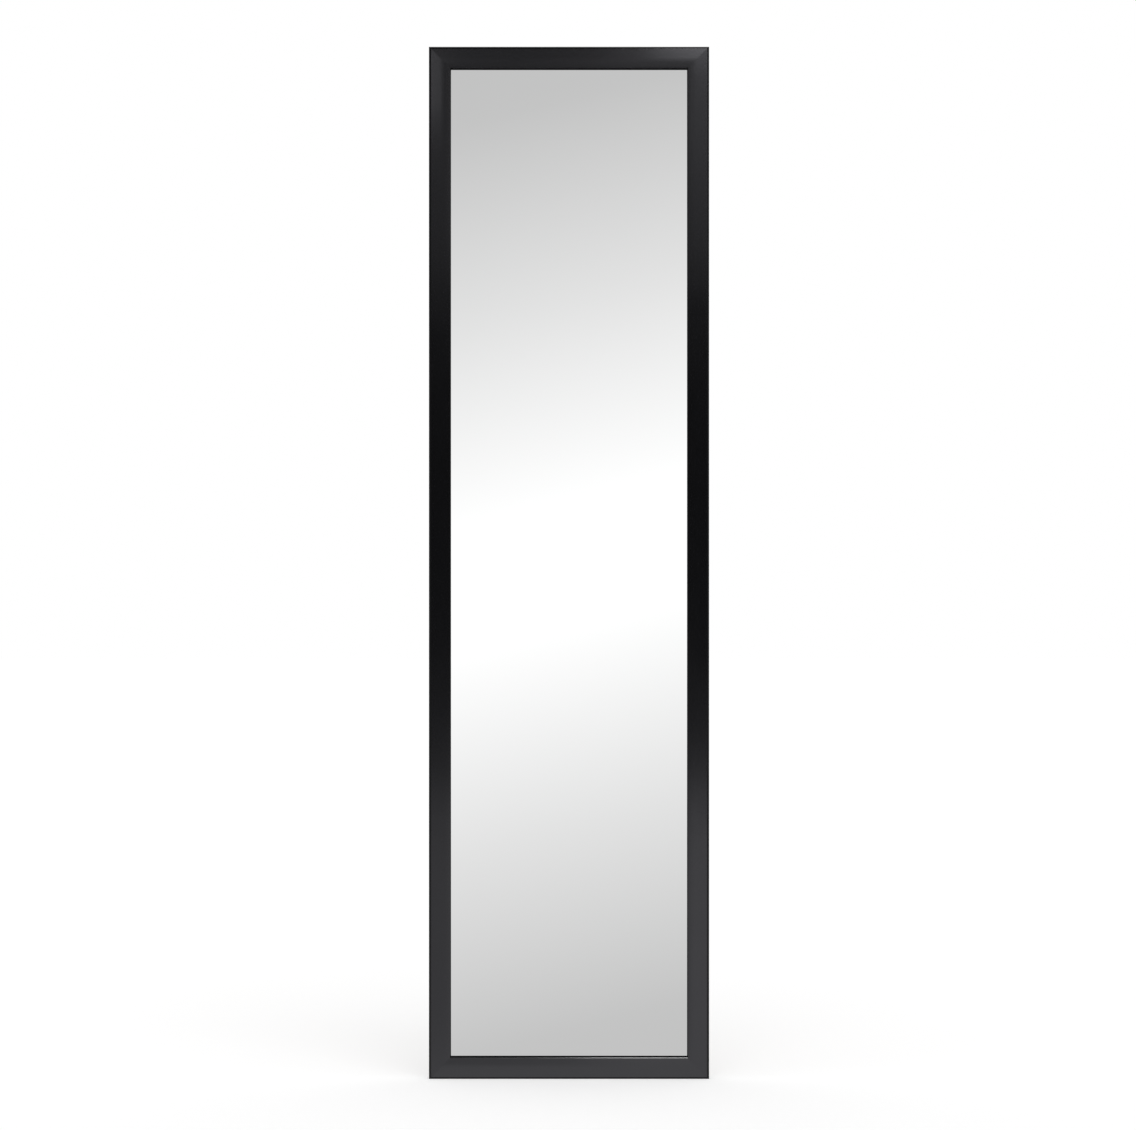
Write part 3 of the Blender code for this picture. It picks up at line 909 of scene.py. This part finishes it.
class DOORMIRROR_OT_screws(Operator):
    """Models the pan-head screws of the turn buttons and the hooks"""

    bl_idname = "door_mirror.add_screws"
    bl_label = "Screws"

    def execute(self, context):
        steel = context.scene.door_mirror.hardware
        finish = zinc_plate(steel.zinc)
        names = sorted(name for name in frame["nodes"] if "screw" in name)
        low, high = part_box(names[0])
        stock = model_screw(steel, high.y - low.y - steel.head_height)
        for number, name in enumerate(names):
            centre = centre_of(name)
            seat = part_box(name)[1].y - steel.head_height
            turn = Matrix.Rotation(number * DRIVEN_TURN, 4, "Y")
            place = Matrix.Translation((centre.x, seat, centre.z)) @ turn
            hand_over(copy_piece(stock, f"zinc_{name}", place), name, finish)
        discard(stock)
        return {"FINISHED"}


# Level of the end of a hook's rear leg
HOOK_LEG_END = -0.028


def model_hook(steel):
    """The left hook: a strip bent over the door, with a slot for its two screws."""
    low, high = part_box("left_door_hook")
    thickness = steel.hook_thickness
    outer = steel.hook_bend + thickness
    bend_level = high.z - outer
    strap = add_block("hook_stock", low, (high.x, low.y + thickness, bend_level))
    pick("FACE", lambda face: face.normal.z > FACING)
    bpy.ops.mesh.spin(
        steps=BEND_STEPS, angle=math.pi / 2, center=(0, low.y + outer, bend_level), axis=(1, 0, 0)
    )
    extrude(y=high.y - low.y - 2 * outer)
    bpy.ops.mesh.spin(
        steps=BEND_STEPS, angle=math.pi / 2, center=(0, high.y - outer, bend_level), axis=(1, 0, 0)
    )
    extrude(z=HOOK_LEG_END - bend_level)

    # Round corners at both ends
    def through_an_end(edge):
        start, end = (v.co for v in edge.verts)
        at_an_end = near(start.z, low.z) or near(start.z, HOOK_LEG_END)
        return at_an_end and near(start.x, end.x) and near(start.z, end.z)

    pick("EDGE", through_an_end)
    round_off(steel.hook_corner, SHOULDER_SEGMENTS)
    close_piece()

    # The slot
    middle = (low.x + high.x) / 2
    slot_low = low.z + steel.slot_end + steel.screw_hole
    slot = add_disc("hook_slot", (middle, slot_low), steel.screw_hole, low.y * CUTTER_REACH, DOOR_FACE)
    pick("VERT", lambda v: v.co.z > slot_low)
    move(z=steel.slot_length - 2 * steel.screw_hole)
    close_piece()
    drill(strap, slot)

    # The coat rounds every sharp edge
    apply_modifier(
        strap,
        "BEVEL",
        width=steel.hook_edge,
        segments=EDGE_SEGMENTS,
        limit_method="ANGLE",
        angle_limit=SHARP_ANGLE,
    )
    bpy.ops.object.shade_smooth_by_angle(angle=SMOOTH_ANGLE)
    flatten_shading(strap)
    return strap


class DOORMIRROR_OT_hooks(Operator):
    """Models the slotted hooks that go over the door"""

    bl_idname = "door_mirror.add_hooks"
    bl_label = "Door Hooks"

    def execute(self, context):
        steel = context.scene.door_mirror.hardware
        finish = powder_coat(steel.coat)
        stock = model_hook(steel)
        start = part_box("left_door_hook")[0]
        for name in ("left_door_hook", "right_door_hook"):
            place = Matrix.Translation(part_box(name)[0] - start)
            hand_over(copy_piece(stock, f"coated_{name}", place), name, finish)
        discard(stock)
        return {"FINISHED"}


# Shares of a foam pad's swell that its two steps take, from the edge inwards
PAD_STEPS = (0.7, 0.3)


class DOORMIRROR_OT_pads(Operator):
    """Models the foam pads between the hooks and the door"""

    bl_idname = "door_mirror.add_pads"
    bl_label = "Hook Pads"

    def execute(self, context):
        steel = context.scene.door_mirror.hardware
        finish = closed_cell_foam(steel.foam)
        start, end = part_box("left_hook_pad")
        rise = Vector((0, 0, steel.pad_crown))
        stock = add_block("pad_stock", start + rise, end - rise)
        pick("EDGE", lambda edge: not near(edge.verts[0].co.z, edge.verts[1].co.z))
        round_off(steel.pad_corner, SHOULDER_SEGMENTS)
        for level, sign in ((start.z + rise.z, -1), (end.z - rise.z, 1)):
            pick_edges(lambda co: near(co.z, level))
            round_off(steel.pad_edge)
            pick("FACE", lambda face: face.normal.z * sign > FLAT)
            for step in PAD_STEPS:
                bpy.ops.mesh.inset(thickness=steel.pad_edge)
                move(z=sign * steel.pad_crown * step)
        close_piece()
        for name in ("left_hook_pad", "right_hook_pad"):
            place = Matrix.Translation(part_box(name)[0] - start)
            pad = copy_piece(stock, f"foam_{name}", place)
            hand_over(pad, name, finish)
        discard(stock)
        return {"FINISHED"}


# Stage

WHITE = (1, 1, 1, 1)

# Broad soft lights in the studio, as glossy surfaces see them: where each one is, how far it reaches at
# full strength, how far until it has faded out (all in degrees), and how bright it is
SOFT_LIGHTS = {
    "wall behind": ((180, 55), 40, 47, 0.8),
    "floor behind": ((180, -38), 20, 36, 0.6),
    "floor behind at the left": ((-143, -38), 20, 36, 0.6),
    "floor behind at the right": ((143, -38), 20, 36, 0.6),
    "left wall": ((-58, 0), 12, 42, 0.04),
    "right wall": ((58, 0), 12, 42, 0.05),
    "floor at the left": ((-55, -36), 14, 36, 0.9),
    "floor at the right": ((55, -36), 14, 36, 0.9),
    "floor at the far left": ((-105, -40), 14, 38, 0.6),
    "floor at the far right": ((105, -40), 14, 38, 0.6),
}
GLOSS_FLOOR = 0.03  # the dark studio between the lights

# Pale sweep that the mirror looks into: how steep its bright band lies, how bright the band is, and the
# share of that at some distances from it
SWEEP_TILT = 0.25
SWEEP_BRIGHTNESS = 1.11
SWEEP_STOPS = {0.017: 1.0, 0.0713: 0.752, 0.126: 0.543, 0.33: 0.42, 0.9: 0.85}

# Key light: where it stands, as azimuth and elevation in degrees, and how wide it looks
KEY_PLACE = (8, 55)
KEY_SPREAD = math.radians(40)

# Soft boxes in front of the frame: left, right, bottom and top edge, measured from the frame's middle, how
# far in front they stand and how bright they are
SOFT_BOXES = {
    "lower_box": (0.03, 0.45, -1.3, -0.33, 0.9, 1.04),
    "lower_left_box": (-0.50, 0.03, -0.73, -0.33, 0.9, 0.69),
    "lowest_left_box": (-0.50, 0.03, -1.3, -0.73, 0.9, 1.04),
    "lower_fringe": (-0.50, 1.2, -0.33, -0.16, 0.9, 0.13),
    "upper_box": (0.0, 1.2, 0.455, 0.88, 1.2, 0.445),
    "upper_left_wall": (-0.60, 0.0, 0.43, 0.98, 1.2, 0.31),
    "upper_right_box": (0.13, 0.50, 0.735, 1.1, 0.6, 3.4),
    "upper_right_fringe": (0.05, 0.50, 0.55, 0.735, 0.6, 0.58),
    "upper_left_box": (-0.33, -0.20, 0.62, 0.74, 0.6, 1.3),
}
CLOTH_WHITE = "#F9F8FF"  # lit by daylight tubes, so slightly cool

# Rim light over the bottom rail: its left and right edge, how far it stands in front of the rail and above
# it, how long it is and how bright
RIM_LEFT, RIM_RIGHT = 0.02, 0.35
RIM_AHEAD, RIM_RISE = 0.45, 0.6
RIM_LENGTH = 0.8
RIM_BRIGHTNESS = 18.0

# The frame's middle in the picture, right of and above the picture's middle
MIDDLE_RIGHT = 0.00125
MIDDLE_ABOVE = 0.0026


def direction(azimuth, elevation):
    """Towards a place in the studio, as seen from the mirror: azimuth 0 is the camera, 90 its right."""
    turn, rise = math.radians(azimuth), math.radians(elevation)
    return Vector((math.sin(turn) * math.cos(rise), -math.cos(turn) * math.cos(rise), math.sin(rise)))


def light_world(stage):
    """The studio all round: white for the camera, a pale sweep in the mirror, soft lights in the gloss."""
    world = bpy.data.worlds.new("studio")
    bpy.context.scene.world = world
    world.use_nodes = True
    world.cycles.sampling_method = "NONE"
    tree = world.node_tree
    tree.nodes.clear()
    ray = node(tree, "LightPath").outputs
    towards = node(tree, "TexCoord").outputs["Generated"]
    white = node(tree, "Background", {"Color": WHITE, "Strength": 1.0})
    ambient = node(tree, "Background", {"Color": WHITE, "Strength": stage.ambient})

    # The sweep in the mirror
    band = node(tree, "VectorMath", {0: towards, 1: (-SWEEP_TILT, 0, 1)}, operation="DOT_PRODUCT")
    off_band = node(tree, "Math", {0: band}, operation="ABSOLUTE")
    sweep = node(tree, "ValToRGB", {"Fac": off_band})
    ramp = sweep.color_ramp
    for position in list(SWEEP_STOPS)[2:]:
        ramp.elements.new(position)
    for element, (position, white_share) in zip(ramp.elements, SWEEP_STOPS.items()):
        element.position = position
        element.color = (white_share, white_share, white_share, 1)
    mirrored = node(tree, "Background", {"Color": sweep, "Strength": SWEEP_BRIGHTNESS})

    # The soft lights in the gloss
    level = node(tree, "Value")
    level.outputs[0].default_value = GLOSS_FLOOR
    for place, full, faded, brightness in SOFT_LIGHTS.values():
        facing = node(tree, "VectorMath", {0: towards, 1: direction(*place)}, operation="DOT_PRODUCT")
        glow = node(
            tree,
            "MapRange",
            {
                "Value": facing,
                "From Min": math.cos(math.radians(faded)),
                "From Max": math.cos(math.radians(full)),
                "To Max": brightness,
            },
            interpolation_type="SMOOTHSTEP",
        )
        level = node(tree, "Math", {0: level, 1: glow})
    glossy = node(tree, "Background", {"Color": WHITE, "Strength": level})

    # What each kind of ray sees
    seen = node(
        tree, "Math", {0: ray["Is Camera Ray"], 1: ray["Is Transmission Ray"]}, operation="MAXIMUM"
    )
    mix = node(tree, "MixShader", {0: ray["Is Glossy Ray"], 1: ambient, 2: glossy})
    mix = node(tree, "MixShader", {0: ray["Is Singular Ray"], 1: mix, 2: mirrored})
    mix = node(tree, "MixShader", {0: seen, 1: mix, 2: white})
    node(tree, "OutputWorld", {"Surface": mix})


def add_lamp(name, kind):
    lamp = bpy.data.lights.new(name, kind)
    made = bpy.data.objects.new(name, lamp)
    bpy.context.scene.collection.objects.link(made)
    return made, lamp


def add_key_light(stage):
    """A broad soft light from high in front, for the shading and the shadow but not for the gloss."""
    key, lamp = add_lamp("key_light", "SUN")
    lamp.energy = stage.key
    lamp.angle = KEY_SPREAD
    key.rotation_euler = direction(*KEY_PLACE).to_track_quat("Z", "Y").to_euler()
    key.visible_glossy = False


def add_rim_light():
    """A soft box over the right half. It lights only the bottom rail, to draw a line on its lip."""
    rim, lamp = add_lamp("rim_light", "AREA")
    lamp.shape = "RECTANGLE"
    lamp.size = RIM_RIGHT - RIM_LEFT
    lamp.size_y = RIM_LENGTH
    lamp.energy = RIM_BRIGHTNESS * math.pi * lamp.size * lamp.size_y
    rim.location = ((RIM_LEFT + RIM_RIGHT) / 2, FRAME_FRONT - RIM_AHEAD, FRAME_BOTTOM + RIM_RISE)
    rim.rotation_euler = Vector((0, -RIM_AHEAD, RIM_RISE)).to_track_quat("Z", "Y").to_euler()
    rim.visible_camera = False
    rim.visible_diffuse = False
    lit = bpy.data.collections.new("lit_by_rim_light")
    lit.objects.link(bpy.data.objects["black_bottom_rail"])
    rim.light_linking.receiver_collection = lit


def soft_box_cloth(radiance):
    """Lit cloth of a soft box: it shows in the satin gloss, and the mirror looks through it."""
    made, tree = start_material("soft box cloth")
    made.cycles.emission_sampling = "NONE"
    ray = node(tree, "LightPath").outputs
    glow = node(tree, "Emission", {"Color": toned(linear(CLOTH_WHITE)), "Strength": radiance})
    clear = node(tree, "BsdfTransparent")
    return finish_material(made, "MixShader", {0: ray["Is Singular Ray"], 1: glow, 2: clear})


def add_soft_box(name, left, right, bottom, top, distance, radiance):
    bpy.ops.mesh.primitive_plane_add(
        size=1,
        location=((left + right) / 2, FRAME_FRONT - distance, FRAME_MIDDLE + (bottom + top) / 2),
        rotation=(math.pi / 2, 0, 0),
    )
    box = bpy.context.object
    box.name = name
    box.scale = (right - left, top - bottom, 1)
    box.data.materials.append(soft_box_cloth(radiance))
    box.visible_camera = False
    box.visible_diffuse = False
    box.visible_shadow = False


def studio_paper(stage):
    """Matt paper floor: pale, lifted to white in the camera's view, where it keeps the shadow."""
    made, tree = start_material("studio paper")
    ray = node(tree, "LightPath").outputs
    lift = node(tree, "Math", {0: ray["Is Camera Ray"], 1: stage.floor_lift}, operation="MULTIPLY")
    paper = node(tree, "BsdfDiffuse", {"Color": toned(stage.floor)})
    glow = node(tree, "Emission", {"Strength": lift})
    return finish_material(made, "AddShader", {0: paper, 1: glow})


def add_floor(stage):
    bpy.ops.mesh.primitive_plane_add(size=stage.floor_size, location=(0, 0, FRAME_BOTTOM))
    floor = bpy.context.object
    floor.name = "floor"
    floor.data.materials.append(studio_paper(stage))
    floor.visible_glossy = False


def add_camera(stage):
    """Square on to the mirror, about level with its middle."""
    lens = bpy.data.cameras.new("camera")
    lens.lens = lens.sensor_width * stage.camera_distance / stage.picture_width
    camera = bpy.data.objects.new("camera", lens)
    bpy.context.scene.collection.objects.link(camera)
    camera.location = (-MIDDLE_RIGHT, FRAME_FRONT - stage.camera_distance, FRAME_MIDDLE - MIDDLE_ABOVE)
    camera.rotation_euler = (math.pi / 2, 0, 0)
    bpy.context.scene.camera = camera


class DOORMIRROR_OT_stage(Operator):
    """Adds the floor, the light and the camera"""

    bl_idname = "door_mirror.set_stage"
    bl_label = "Stage"

    def execute(self, context):
        stage = context.scene.door_mirror.stage
        context.scene.view_settings.view_transform = "Standard"
        light_world(stage)
        add_key_light(stage)
        for name, measures in SOFT_BOXES.items():
            add_soft_box(name, *measures)
        add_rim_light()
        add_floor(stage)
        add_camera(stage)
        return {"FINISHED"}


# Panel and registration


class DOORMIRROR_PT_pieces(Panel):
    """Lists the pieces of the door mirror and their settings"""

    bl_idname = "DOORMIRROR_PT_pieces"
    bl_label = "Over-the-Door Mirror"
    bl_space_type = "VIEW_3D"
    bl_region_type = "UI"
    bl_category = "Door Mirror"

    def draw(self, context):
        settings = context.scene.door_mirror
        for operator in PIECES:
            self.layout.operator(operator.bl_idname)
        for group in (settings.moulding, settings.glass, settings.back, settings.hardware, settings.stage):
            box = self.layout.box()
            for name in group.__annotations__:
                box.prop(group, name)


PIECES = (
    DOORMIRROR_OT_moulding,
    DOORMIRROR_OT_pane,
    DOORMIRROR_OT_board,
    DOORMIRROR_OT_wedges,
    DOORMIRROR_OT_buttons,
    DOORMIRROR_OT_screws,
    DOORMIRROR_OT_hooks,
    DOORMIRROR_OT_pads,
    DOORMIRROR_OT_bumpers,
    DOORMIRROR_OT_stage,
)
SETTINGS = (
    MouldingSettings,
    GlassSettings,
    BackSettings,
    HardwareSettings,
    StageSettings,
    DoorMirrorSettings,
)


def register():
    for made in SETTINGS + PIECES + (DOORMIRROR_PT_pieces,):
        bpy.utils.register_class(made)
    bpy.types.Scene.door_mirror = PointerProperty(type=DoorMirrorSettings)


def unregister():
    del bpy.types.Scene.door_mirror
    for made in reversed(SETTINGS + PIECES + (DOORMIRROR_PT_pieces,)):
        bpy.utils.unregister_class(made)


def main():
    register()
    bpy.ops.door_mirror.add_moulding()
    bpy.ops.door_mirror.add_pane()
    bpy.ops.door_mirror.add_board()
    bpy.ops.door_mirror.add_wedges()
    bpy.ops.door_mirror.add_buttons()
    bpy.ops.door_mirror.add_screws()
    bpy.ops.door_mirror.add_hooks()
    bpy.ops.door_mirror.add_pads()
    bpy.ops.door_mirror.add_bumpers()
    bpy.ops.door_mirror.set_stage()


if __name__ == "__main__":
    main()
